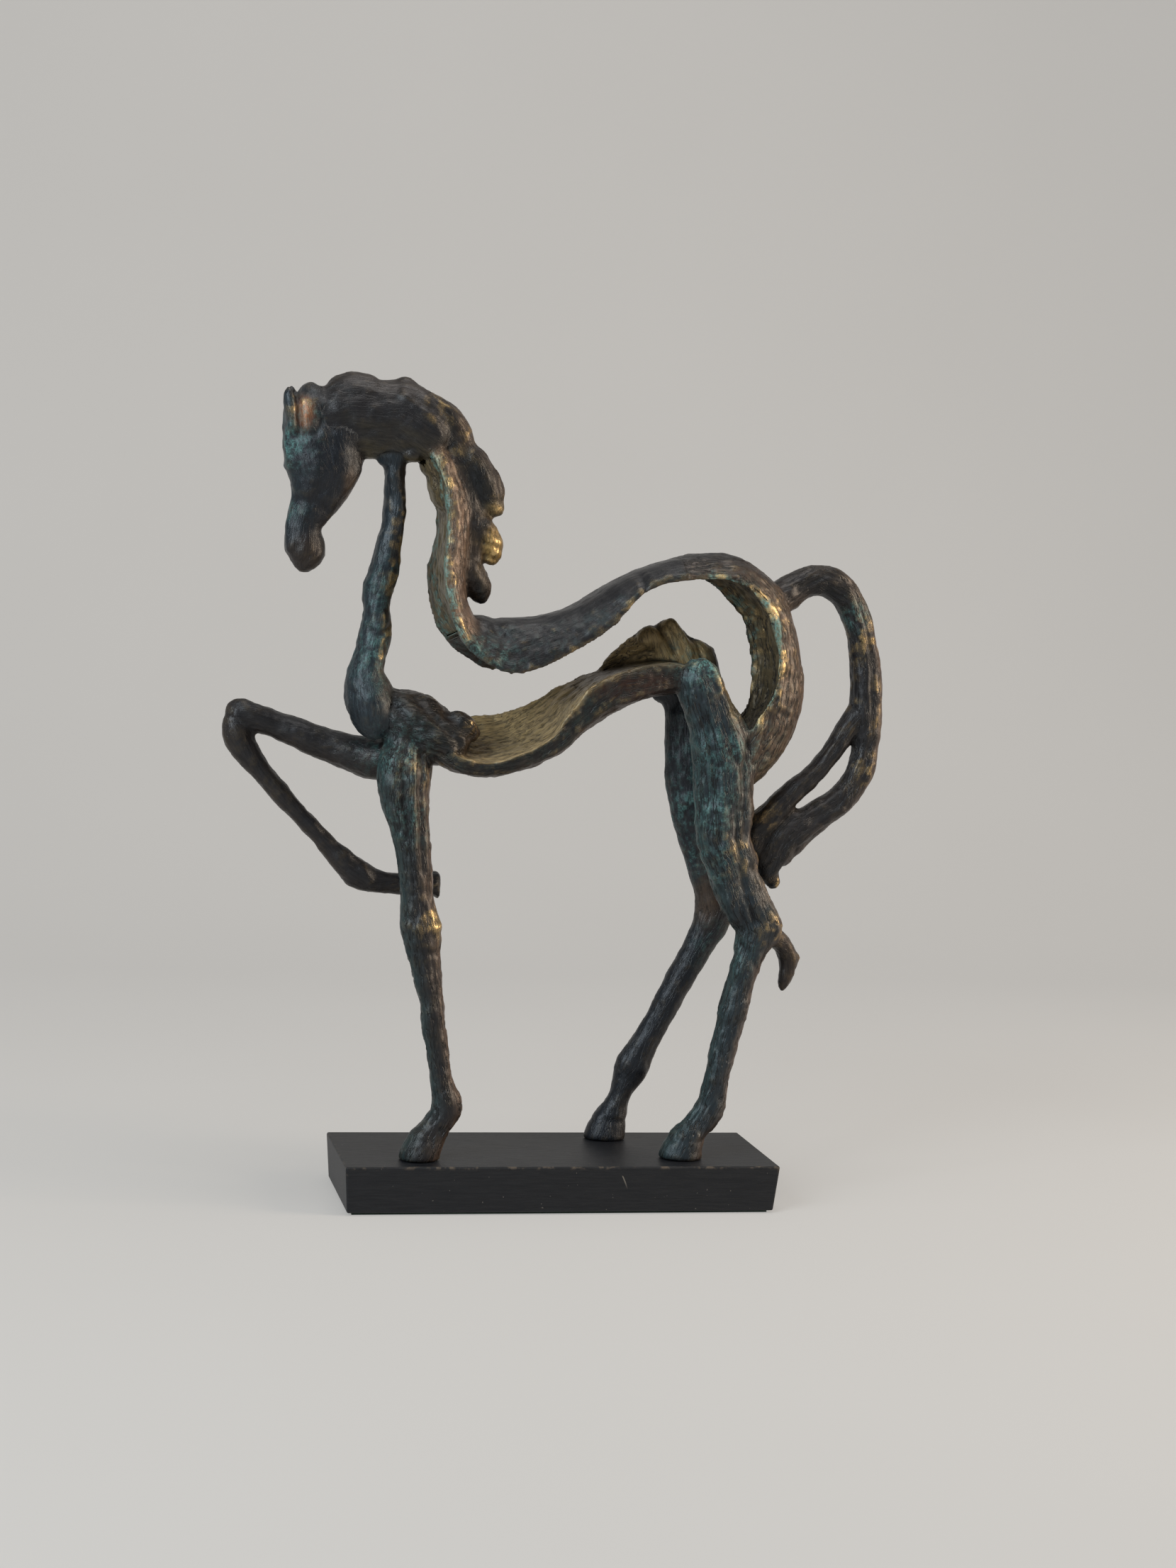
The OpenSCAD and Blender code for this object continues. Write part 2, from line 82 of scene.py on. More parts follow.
class Socket:
    """A shader socket that can be used in Python expressions."""

    def __init__(self, tree, source):
        self.tree = tree
        self.source = source

    def node(self, kind, settings=None, **inputs):
        """Adds a node, sets it up, and links or sets its inputs, which are named or, with an i, numbered."""
        made = self.tree.nodes.new(kind)
        for name, value in (settings or {}).items():
            setattr(made, name, value)
        for name, value in inputs.items():
            key = int(name[1:]) if name[0] == "i" and name[1:].isdigit() else name.replace("_", " ")
            socket = made.inputs[key]
            if isinstance(value, Socket):
                self.tree.links.new(value.source, socket)
            elif hasattr(value, "__len__") and len(value) == 3 and socket.type == "RGBA":
                socket.default_value = (*value, 1)
            else:
                socket.default_value = value
        return Outputs(self.tree, made)

    def maths(self, operation, *values, clamp=False):
        inputs = {f"i{k}": v for k, v in enumerate(values)}
        return self.node("ShaderNodeMath", {"operation": operation, "use_clamp": clamp}, **inputs)()

    def __add__(self, other):
        return self.maths("ADD", self, other)

    def __sub__(self, other):
        return self.maths("SUBTRACT", self, other)

    def __rsub__(self, other):
        return self.maths("SUBTRACT", other, self)

    def __mul__(self, other):
        return self.maths("MULTIPLY", self, other)

    __radd__ = __add__
    __rmul__ = __mul__

    def clip(self):
        return self.maths("ADD", self, 0, clamp=True)

    def size(self):
        return self.maths("ABSOLUTE", self)

    def tinted(self, colour):
        """This colour times another."""
        settings = {"data_type": "RGBA", "blend_type": "MULTIPLY"}
        return self.node("ShaderNodeMix", settings, i0=1.0, i6=self, i7=colour)("Result", 2)

    def step(self, low, high):
        """0 below low, 1 above high, and smooth between them."""
        settings = {"interpolation_type": "SMOOTHSTEP"}
        return self.node("ShaderNodeMapRange", settings, Value=self, From_Min=low, From_Max=high)("Result")

    def mix(self, under, over):
        """The colour under where this is 0, over where it is 1."""
        return self.node("ShaderNodeMix", {"data_type": "RGBA"}, i0=self, i6=under, i7=over)("Result", 2)

    def bump(self, strength, distance):
        """The normal of a surface that stands up by this."""
        return self.node("ShaderNodeBump", Strength=strength, Distance=distance, Height=self)("Normal")

    def stretch(self, x, y, z):
        return self.node("ShaderNodeVectorMath", {"operation": "MULTIPLY"}, i0=self, i1=(x, y, z))()

    def noise(self, scale, detail=3, rough=0.55, distortion=0):
        made = self.node(
            "ShaderNodeTexNoise",
            Vector=self,
            Scale=scale,
            Detail=detail,
            Roughness=rough,
            Distortion=distortion,
        )
        return made("Fac")


class Outputs:
    """The outputs of a node, each of them as a Socket."""

    def __init__(self, tree, node):
        self.tree = tree
        self.made = node

    def __call__(self, name=0, index=None):
        if index is None:
            return Socket(self.tree, self.made.outputs[name])
        return Socket(self.tree, [o for o in self.made.outputs if o.name == name][index])


def new_material(name, **constants):
    """A material whose Principled shader has these constant sockets, with a start for its expressions."""
    material = bpy.data.materials.new(name)
    material.use_nodes = True
    tree = material.node_tree
    shader = tree.nodes["Principled BSDF"]
    for key, value in constants.items():
        shader.inputs[key.replace("_", " ")].default_value = value
    return material, Socket(tree, None), shader


def feed(shader, **links):
    for key, value in links.items():
        value.tree.links.new(value.source, shader.inputs[key.replace("_", " ")])


# Backdrop and floor are one sweep. Straight rays and mirror rays see it pale, and other light sees it grey.
FLOOR_HALF = 3.0
SWEEP_BACK = 1.6
SWEEP_RADIUS = 0.8
SWEEP_TOP = 3.0
SWEEP_STEPS = 12
FLOOR_GREY = (0.30, 0.29, 0.28)
FLOOR_SEEN = (0.24, 0.235, 0.23)
GLOW_DARK = (0.30, 0.295, 0.285)
GLOW_LIGHT = (0.33, 0.325, 0.315)
arc = [math.radians(90 * k / SWEEP_STEPS) for k in range(SWEEP_STEPS + 1)]
bend = SWEEP_BACK - SWEEP_RADIUS
profile = [(-FLOOR_HALF, 0)]
profile += [(bend + SWEEP_RADIUS * math.sin(a), SWEEP_RADIUS * (1 - math.cos(a))) for a in arc]
profile += [(SWEEP_BACK, SWEEP_TOP)]
sweep_mesh = bpy.data.meshes.new("backdrop")
sweep_mesh.from_pydata(
    [(x, y, z) for y, z in profile for x in (-FLOOR_HALF, FLOOR_HALF)],
    [],
    [(2 * k, 2 * k + 1, 2 * k + 3, 2 * k + 2) for k in range(len(profile) - 1)],
)
backdrop = bpy.data.objects.new("backdrop", sweep_mesh)
scene.collection.objects.link(backdrop)
pale, start, shader = new_material(
    "pale_floor", Roughness=0.9, Specular_IOR_Level=0.1, Emission_Strength=1.0
)
drift = start.node("ShaderNodeNewGeometry")("Position").noise(1.5)
path = start.node("ShaderNodeLightPath")
seen = (path("Is Camera Ray") + path("Is Glossy Ray") + path("Is Transmission Ray")).clip()
feed(
    shader,
    Base_Color=seen.mix(FLOOR_GREY, FLOOR_SEEN),
    Emission_Color=seen.mix((0, 0, 0), drift.mix(GLOW_DARK, GLOW_LIGHT)),
)
sweep_mesh.materials.append(pale)
for polygon in sweep_mesh.polygons:
    polygon.use_smooth = True


MIDDLE = Vector((0, 0, 0.25))


def lamp(name, place, size, power, colour):
    """A soft rectangular lamp that is aimed at the middle of the statue."""
    data = bpy.data.lights.new(name, "AREA")
    data.shape = "RECTANGLE"
    data.size, data.size_y = size
    data.energy = power
    data.color = colour
    made = bpy.data.objects.new(name, data)
    made.location = place
    made.rotation_euler = (MIDDLE - Vector(place)).to_track_quat("-Z", "Y").to_euler()
    scene.collection.objects.link(made)


lamp("window_lamp", place=(-1.35, -1.15, 1.0), size=(0.9, 1.3), power=28, colour=(0.86, 0.95, 1.0))
lamp("warm_lamp", place=(1.5, -0.5, 0.7), size=(0.6, 1.1), power=24, colour=(1.0, 0.84, 0.66))
lamp("top_lamp", place=(0.1, -0.3, 1.9), size=(1.2, 0.9), power=14, colour=(1.0, 0.98, 0.95))
ROOM_COLOUR = (0.80, 0.80, 0.79, 1)
ROOM_STRENGTH = 0.28
world = bpy.data.worlds.new("world")
scene.world = world
world.use_nodes = True
room = world.node_tree.nodes["Background"].inputs
room["Color"].default_value = ROOM_COLOUR
room["Strength"].default_value = ROOM_STRENGTH

# ---------------------------------------------------------------------------------------------------------
# The castings: wax was pulled along each strand by hand, cast in bronze, welded and chased over the welds.
# So the surface is worked as one skin across all of them, and then parted again at the welds.
MM = 0.001
CASTINGS = [
    "head", "upper_neck", "throat_strand", "crest_ribbon", "mane",
    "back_ribbon", "croup_ribbon", "belly_ribbon", "right_flank",
    "shoulder", "foreleg_left", "foreleg_right", "hind_leg_left", "hind_leg_right",
    "tail_outer", "tail_inner", "tail_end_lock",
]

# The way the wax was pulled: points along each strand, x and height in millimetres.
PULL = {
    "head": [(-168, 466), (-163, 440), (-156, 415), (-160, 385), (-163, 360)],
    "upper_neck": [(-168, 446), (-140, 449), (-112, 449), (-92, 438), (-84, 428)],
    "throat_strand": [(-113, 440), (-112, 400), (-116, 365), (-120, 340), (-124, 305), (-118, 270)],
    "crest_ribbon": [(-97, 437), (-86, 412), (-84, 380), (-86, 358), (-80, 340), (-66, 322)],
    "mane": [(-98, 462), (-80, 445), (-66, 425), (-58, 400), (-60, 370), (-63, 348)],
    "back_ribbon": [(-75, 330), (-45, 318), (-10, 332), (16, 350), (30, 361), (60, 370)],
    "croup_ribbon": [(50, 369), (88, 368), (108, 350), (115, 320), (112, 285), (102, 258)],
    "belly_ribbon": [(-90, 268), (-60, 256), (-30, 264), (-5, 286), (20, 305), (62, 311)],
    "right_flank": [(19, 312), (45, 322), (66, 322)],
    "shoulder": [(-122, 280), (-90, 276), (-62, 270)],
    "foreleg_left": [(-99, 275), (-101, 235), (-91, 180), (-82, 125), (-73, 70), (-70, 55), (-82, 28)],
    "foreleg_right": [(-98, 262), (-121, 256), (-161, 269), (-197, 277)],
    "hind_leg_left": [(66, 322), (86, 265), (88, 220), (110, 165), (102, 125), (92, 70), (74, 28)],
    "hind_leg_right": [(60, 343), (78, 295), (80, 240), (97, 170), (88, 142), (61, 88), (47, 55), (40, 28)],
    "tail_outer": [
        (118, 358), (142, 372), (162, 363), (176, 322), (179, 280), (166, 241), (135, 218), (126, 195),
    ],
    "tail_inner": [(178, 302), (156, 266), (133, 243), (112, 220)],
    "tail_end_lock": [(118, 162), (133, 150), (135, 135), (132, 127)],
}
# The raised foreleg folds back below its knee, and its run there is counted on from CANNON_RUN.
RAISED_CANNON = [(-197, 277), (-180, 246), (-129, 194), (-112, 183), (-70, 183)]
CANNON_RUN = 200


def along(points, x, z):
    """Each vertex's distance along a line of points, then off it with the side's sign, then off it without."""
    points = np.array(points, float)
    best = np.full(len(x), np.inf)
    run = np.zeros(len(x))
    off = np.zeros(len(x))
    total = 0.0
    for a, b in zip(points[:-1], points[1:]):
        length = np.linalg.norm(b - a)
        u = (b - a) / length
        t = np.clip((x - a[0]) * u[0] + (z - a[1]) * u[1], 0, length)
        dx, dz = x - a[0] - t * u[0], z - a[1] - t * u[1]
        far = np.hypot(dx, dz)
        nearer = far < best
        best = np.where(nearer, far, best)
        run = np.where(nearer, total + t, run)
        off = np.where(nearer, np.sign(dx * u[1] - dz * u[0]) * far, off)
        total += length
    return run, off, best


def lattice(cells, seed):
    """A fixed random value from -1 to 1 for each whole-number cell, by mixing up the bits of its place."""
    h = cells[:, 0] * 73856093 ^ cells[:, 1] * 19349663 ^ cells[:, 2] * 83492791 ^ seed * 2654435761
    h &= 0xFFFFFFFF
    h = (h ^ (h >> 15)) * 0x2C1B3C6D & 0xFFFFFFFF
    h = (h ^ (h >> 12)) * 0x297A2D39 & 0xFFFFFFFF
    h ^= h >> 15
    return h / 0x7FFFFFFF - 1.0


def lumps(points, seed):
    """Smooth random lumps, one unit across, from -1 to 1."""
    cell = np.floor(points).astype(np.int64)
    f = points - cell
    f = f * f * f * (f * (6 * f - 15) + 10)
    total = np.zeros(len(points))
    for corner in itertools.product((0, 1), repeat=3):
        weight = np.prod(np.where(corner, f, 1 - f), axis=1)
        total += weight * lattice(cell + np.array(corner), seed)
    return total


def rough(points, seed, octaves):
    """Lumps with finer lumps on them."""
    return sum(lumps(points * 2**k, seed + k) / 2**k for k in range(octaves))


def ease(value, low, high):
    """0 below low, 1 above high, and smooth between them."""
    t = np.clip((value - low) / (high - low), 0, 1)
    return t * t * (3 - 2 * t)


# Pellets of wax pressed on before casting: casting, centre and radii in millimetres, and tilt in degrees.
PELLETS = [
    # ears, with their tips, and the poll between them
    ("head", (-174.2, -9, 450), (3.6, 4.6, 13.5), -8),
    ("head", (-167.8, -8.5, 447), (3.8, 2.6, 10.5), 10),
    ("head", (-171, 9, 452), (4.5, 3.6, 13), -6),
    ("upper_neck", (-156, 0, 457), (11, 8, 7.5), -4),
    ("head", (-145, 0, 437), (15, 14.5, 13), 0),
    # folds along the top of the neck
    ("upper_neck", (-136, 0, 463), (12.5, 8, 10.6), 0),
    ("upper_neck", (-109, 0, 464), (9.5, 8, 9.6), 10),
    ("upper_neck", (-128, 0, 432), (6.5, 7, 7), 0),
    ("upper_neck", (-104, -3, 430), (7, 9, 5), 0),
    # the roots of the throat strand and of the crest
    ("throat_strand", (-115.5, -2, 428), (9, 7, 8), 0),
    ("crest_ribbon", (-89.5, 0, 424), (9.5, 13, 7.5), 20),
    ("crest_ribbon", (-83.5, 0, 410), (8.5, 15, 14), -25),
    ("back_ribbon", (-57, 0, 329.5), (15, 18, 11), 22),
    ("back_ribbon", (-44, 0, 330), (14, 19, 10.4), 0),
    # the mane's leaf with its tip, the ridged shell and the ball, on the strip that holds them
    ("mane", (-66, -3, 384), (7.5, 8, 30), 6),
    ("mane", (-60.5, -5, 419), (7.5, 5, 17), -32),
    ("mane", (-54, -4, 403), (5.2, 5, 6.5), 0),
    ("mane", (-55.8, -4, 380), (6.4, 6, 11), -6),
    ("mane", (-61.5, -4, 357), (7, 7, 8), 0),
    # belly to shoulder, far flank, spur, and the web of the hock
    ("shoulder", (-70, -12, 276), (12, 10, 9), 25),
    ("right_flank", (44, 24, 324), (15, 7, 9), -40),
    ("hind_leg_right", (62, 26, 331), (15, 7, 9), 15),
    ("hind_leg_right", (48, 22, 331), (9, 6, 9), -30),
    ("tail_end_lock", (138.5, -11, 148), (5, 3.6, 3.2), 20),
    ("foreleg_right", (-72, 20, 177), (4, 7, 3.6), 35),
    ("tail_outer", (127, 0, 191), (4.5, 4, 5), 0),
    ("tail_outer", (114, 0, 216), (8, 7, 13), 15),
]


def pellet(place, radii, tilt):
    """One pressed pellet, as a mesh in metres."""
    shape = bmesh.new()
    turned = Matrix.Rotation(math.radians(tilt), 4, "Y")
    placed = Matrix.Translation(Vector(place) * MM) @ turned @ Matrix.Diagonal((*radii, 1))
    bmesh.ops.create_icosphere(shape, subdivisions=3, radius=MM, matrix=placed)
    mesh = bpy.data.meshes.new("pellet")
    shape.to_mesh(mesh)
    shape.free()
    return mesh


# One skin over all the castings, with a note of which casting each part of it belongs to.
VOXEL = 1.2  # millimetres
gathered = bmesh.new()
owner = []
wax = [(name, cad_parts[name].data) for name in CASTINGS]
wax += [(name, pellet(*shape)) for name, *shape in PELLETS]
for name, mesh in wax:
    gathered.from_mesh(mesh)
    owner += [CASTINGS.index(name)] * (len(gathered.faces) - len(owner))
gathered.faces.ensure_lookup_table()
castings_tree = BVHTree.FromBMesh(gathered)
rough_mesh = bpy.data.meshes.new("rough_castings")
gathered.to_mesh(rough_mesh)
gathered.free()
rough_mesh.transform(Matrix.Scale(1 / MM, 4))
rough_castings = bpy.data.objects.new("rough_castings", rough_mesh)
scene.collection.objects.link(rough_castings)
remesh = rough_castings.modifiers.new("skin", "REMESH")
remesh.mode = "VOXEL"
remesh.voxel_size = VOXEL
remesh.adaptivity = 0
skin = bpy.data.meshes.new_from_object(rough_castings.evaluated_get(bpy.context.evaluated_depsgraph_get()))
bpy.data.objects.remove(rough_castings)

count = len(skin.vertices)
co = np.zeros(count * 3)
skin.vertices.foreach_get("co", co)
co = co.reshape(-1, 3)
edges = np.zeros(len(skin.edges) * 2, np.int64)
skin.edges.foreach_get("vertices", edges)
edges = edges.reshape(-1, 2)
valence = np.bincount(edges.ravel(), minlength=count)


def neighbours(values):
    """The mean over each vertex's neighbours."""
    if values.ndim == 2:
        return np.column_stack([neighbours(column) for column in values.T])
    total = np.bincount(edges[:, 0], values[edges[:, 1]], count)
    return (total + np.bincount(edges[:, 1], values[edges[:, 0]], count)) / valence


def relax(values, times, share=0.5):
    """Evens out values over the skin, by moving each one towards its neighbours' mean."""
    for _ in range(times):
        values = values * (1 - share) + neighbours(values) * share
    return values


def normals_of(points):
    """The skin's normals with its vertices at these points."""
    skin.vertices.foreach_set("co", points.ravel())
    skin.update()
    found = np.zeros(count * 3)
    skin.vertices.foreach_get("normal", found)
    return found.reshape(-1, 3)


belongs = np.zeros(count, np.int64)
for k, point in enumerate(co):
    belongs[k] = owner[castings_tree.find_nearest(Vector(point) * MM)[2]]
co = relax(co, times=7)
# the toe of the raised hoof is filed back
TOE_START, TOE_KEPT, RAISED_HOOF_TOP = -74, 0.45, 195
toe = (belongs == CASTINGS.index("foreleg_right")) & (co[:, 0] > TOE_START) & (co[:, 2] < RAISED_HOOF_TOP)
co[toe, 0] = TOE_START + (co[toe, 0] - TOE_START) * TOE_KEPT
normal = normals_of(co)

# Every vertex's place on its own strand: distance along the pull, distance off it, and y.
x, y, z = co.T
run = np.zeros(count)
off = np.zeros(count)
for index, name in enumerate(CASTINGS):
    mine = belongs == index
    s, d, far = along(PULL[name], x[mine], z[mine])
    if name == "foreleg_right":
        s2, d2, far2 = along(RAISED_CANNON, x[mine], z[mine])
        below_knee = far2 < far
        s, d = np.where(below_knee, s2 + CANNON_RUN, s), np.where(below_knee, d2, d)
    run[mine] = s
    off[mine] = d
flow = np.column_stack([run, off, y])

# How each casting was worked: hand lumps, drawn streaks, grit and long cracks, as heights in millimetres.
WORKING = {
    "head": (0.55, 0.20, 0.30, 0.10),
    "upper_neck": (0.60, 0.30, 0.25, 0.10),
    "throat_strand": (0.75, 0.35, 0.40, 0.15),
    "crest_ribbon": (0.70, 0.60, 0.30, 0.35),
    "mane": (0.50, 0.55, 0.25, 0.20),
    "back_ribbon": (0.55, 0.20, 0.20, 0.08),
    "croup_ribbon": (0.70, 0.55, 0.35, 0.45),
    "belly_ribbon": (0.65, 0.65, 0.25, 0.30),
    "right_flank": (1.10, 0.70, 0.30, 0.40),
    "shoulder": (1.10, 0.60, 0.40, 0.50),
    "foreleg_left": (0.75, 0.65, 0.35, 0.60),
    "foreleg_right": (0.60, 0.25, 0.30, 0.15),
    "hind_leg_left": (0.95, 0.55, 0.45, 0.45),
    "hind_leg_right": (0.60, 0.30, 0.25, 0.20),
    "tail_outer": (0.55, 0.50, 0.22, 0.35),
    "tail_inner": (0.50, 0.40, 0.20, 0.20),
    "tail_end_lock": (0.50, 0.40, 0.25, 0.20),
}
RIBBONS = [CASTINGS.index(n) for n in ("crest_ribbon", "back_ribbon", "croup_ribbon", "belly_ribbon")]
worked = relax(np.array([WORKING[n] for n in CASTINGS])[belongs], times=12)
hand_worked, drawn_worked, grit_worked, crack_worked = worked.T
facing = relax(normal, times=4)
rim = relax(np.isin(belongs, RIBBONS) * ease(np.abs(facing[:, 1]), 0.45, 0.85), times=2)

# widths in millimetres: of lumps, dents and grit, and of streaks and cracks along and across the pull
LUMP, DENT, GRIT = 13, 5.5, 2.6
STREAK = (13.0, 2.6, 2.6)
CRACK = (26.0, 5.0, 5.0)
WANDER, WANDER_WIDTH = 0.25, 9
CRACK_SHARP = 0.07
streak = 1 - 2.2 * np.abs(rough(flow / STREAK, seed=11, octaves=2))
wander = WANDER * rough(co / WANDER_WIDTH, seed=5, octaves=1)[:, None]
crack_line = np.exp(-((rough(flow / CRACK + wander, seed=23, octaves=2) / CRACK_SHARP) ** 2))
height = hand_worked * rough(co / LUMP, seed=31, octaves=2)
height += (hand_worked * 0.30 + rim * 0.25) * rough(co / DENT, seed=41, octaves=2)
height += drawn_worked * (1 - 0.5 * rim) * streak * 0.6
height += (grit_worked * 0.7 + 0.2 * rim) * rough(co / GRIT, seed=51, octaves=1)
height -= crack_worked * 1.3 * crack_line

# Tool strokes on top: casting, line of x and height, width and height of the stroke in millimetres, and the
# side it is on, -1 for the horse's left, 1 for its right and 0 for both.
STROKES = [
    # muzzle crease, jaw edge, nose ridge, mouth, nostril, ear root
    ("head", [(-172, 402), (-163, 399), (-153, 396)], 3.0, -1.5, 0),
    ("head", [(-131, 424), (-137, 413), (-146, 401), (-152, 388)], 2.6, 1.0, 0),
    ("head", [(-174, 440), (-174, 415), (-172, 390), (-171, 372)], 2.4, 1.1, 0),
    ("head", [(-170, 362), (-163, 365), (-156, 372)], 1.3, -0.7, 0),
    ("head", [(-169, 371), (-167, 374)], 2.0, -0.9, 0),
    ("head", [(-152, 430), (-150, 412), (-158, 402)], 4.5, -0.8, 0),
    ("head", [(-170, 436), (-160, 437), (-156, 446)], 2.2, -1.3, 0),
    # poll and neck folds
    ("upper_neck", [(-150, 446), (-132, 441), (-118, 443), (-106, 437)], 3.2, -0.9, 0),
    ("upper_neck", [(-112, 462), (-98, 452), (-90, 441)], 2.2, 1.0, 0),
    ("upper_neck", [(-122, 432), (-110, 430), (-98, 425)], 2.4, 1.2, 0),
    # throat strand, where its bulb is pressed on
    ("throat_strand", [(-124, 330), (-119, 327), (-112, 331)], 1.6, -1.1, 0),
    ("throat_strand", [(-108, 404), (-107, 380), (-109, 360), (-108, 340), (-109, 315)], 1.8, 1.0, 0),
    # saddle: the pinch before the loin
    ("back_ribbon", [(31, 376), (30, 366), (32, 355)], 2.0, -1.5, 0),
    ("back_ribbon", [(-40, 309), (-10, 318), (14, 333), (28, 348)], 2.2, 1.0, 0),
    # shoulder folds and forearm tendons
    ("shoulder", [(-112, 290), (-100, 276), (-96, 258)], 3.0, -2.0, -1),
    ("shoulder", [(-96, 292), (-84, 280), (-72, 268)], 2.6, -1.8, -1),
    ("shoulder", [(-88, 293), (-76, 287), (-65, 279)], 2.4, 1.8, -1),
    ("foreleg_left", [(-104, 262), (-103, 240), (-99, 215), (-94, 190)], 2.2, -1.5, -1),
    ("foreleg_left", [(-93, 262), (-94, 240), (-92, 215), (-90, 195)], 1.8, -1.4, -1),
    ("foreleg_left", [(-98, 255), (-98, 232), (-95, 205), (-92, 180)], 2.2, 1.3, -1),
    ("foreleg_left", [(-97, 164), (-88, 162), (-80, 163)], 2.6, 1.2, 0),
    ("foreleg_left", [(-95, 150), (-87, 148), (-79, 149)], 2.0, -0.9, 0),
    ("foreleg_right", [(-196, 283), (-188, 274), (-184, 264)], 3.0, -1.0, 0),
    ("foreleg_right", [(-128, 200), (-119, 194), (-114, 184)], 2.4, 1.0, 0),
    # thigh: the welds of the croup band and the leg, and its tendons
    ("hind_leg_left", [(72, 320), (80, 305), (86, 286), (92, 268)], 2.6, 1.6, -1),
    ("hind_leg_left", [(66, 300), (72, 282), (78, 262), (76, 240)], 3.0, -1.6, -1),
    ("hind_leg_left", [(98, 275), (95, 258), (97, 240), (99, 220)], 2.4, -1.8, -1),
    ("hind_leg_left", [(84, 235), (86, 210), (90, 190), (96, 172)], 2.8, 1.3, -1),
    ("hind_leg_left", [(92, 230), (96, 205), (101, 185), (108, 170)], 2.0, -1.4, -1),
    ("hind_leg_left", [(116, 176), (123, 168), (124, 157)], 2.4, 1.5, 0),
    ("hind_leg_left", [(98, 158), (106, 150), (112, 140)], 2.2, -1.1, -1),
    ("hind_leg_right", [(62, 320), (72, 290), (78, 260), (80, 225)], 3.0, 1.0, 1),
    ("hind_leg_right", [(70, 300), (82, 270), (86, 235), (92, 200)], 2.6, -1.3, 1),
    ("croup_ribbon", [(112, 300), (108, 278), (103, 262)], 2.6, -1.5, 0),
    ("right_flank", [(22, 314), (36, 320), (50, 326)], 2.0, -1.5, 0),
    ("right_flank", [(50, 338), (57, 330), (62, 322)], 1.8, -2.0, 0),
    ("hind_leg_right", [(50, 343), (57, 334), (62, 325)], 2.0, -2.2, -1),
    ("hind_leg_right", [(60, 343), (68, 334), (72, 325)], 1.8, 1.8, -1),
    ("hind_leg_right", [(70, 338), (77, 330), (80, 322)], 1.6, -1.6, -1),
    # ridges of the shell in the mane, and the fold of the ear
    ("mane", [(-61, 389), (-51, 386)], 1.2, -1.2, 0),
    ("mane", [(-61, 382), (-50, 379)], 1.2, -1.2, 0),
    ("mane", [(-60, 375), (-51, 372)], 1.2, -1.2, 0),
    ("head", [(-170.5, 460), (-170, 450), (-169, 439)], 1.4, -1.6, -1),
    # tail: the strands it is drawn in
    ("tail_outer", [(128, 366), (146, 376), (162, 370), (172, 348), (178, 320), (180, 285)], 2.0, -1.2, 0),
    ("tail_outer", [(180, 280), (176, 256), (162, 240), (146, 229)], 2.0, -1.0, 0),
    ("tail_outer", [(165, 236), (148, 224), (134, 212), (127, 198)], 1.8, 1.0, 0),
    ("tail_inner", [(168, 288), (152, 260), (132, 240), (118, 228)], 1.8, -0.9, 0),
]
for name, line, width, depth, side in STROKES:
    mine = np.flatnonzero(belongs == CASTINGS.index(name))
    _, _, far = along(line, x[mine], z[mine])
    turned = ease(np.abs(facing[mine, 1]) if side == 0 else side * facing[mine, 1], 0.05, 0.45)
    height[mine] += depth * np.exp(-((far / width) ** 2)) * turned

# The standing hooves are filed smoother than the legs, with a groove round each at the hair line.
PLINTH_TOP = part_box("plinth")[1].z / MM
HOOF_ROUGHNESS, FILED_BELOW, ROUGH_ABOVE = 0.35, 8, 15
HAIR_LINE, GROOVE_WIDTH, GROOVE_DEPTH = 12, 1.6, 0.5
above = z - PLINTH_TOP
height *= HOOF_ROUGHNESS + (1 - HOOF_ROUGHNESS) * ease(above, FILED_BELOW, ROUGH_ABOVE)
height -= GROOVE_DEPTH * np.exp(-(((above - HAIR_LINE) / GROOVE_WIDTH) ** 2))

co = co + normal * relax(height, times=1, share=0.35)[:, None]
co[:, 2] = np.maximum(co[:, 2], PLINTH_TOP)
normal = normals_of(co)

# What the hand rubs and what the patina settles in: how far each point stands out from the skin round it.
near_skin = relax(co, times=3)
wide_skin = relax(near_skin, times=14)
fine_stand = np.einsum("ij,ij->i", co - near_skin, normal)
broad_stand = np.einsum("ij,ij->i", near_skin - wide_skin, normal)
stands = fine_stand * 3 + broad_stand
rub = ease(stands, 0.15, 0.75)
pit = ease(-stands, 0.10, 0.9)
cracked = np.clip(crack_worked * 2.2, 0, 1)

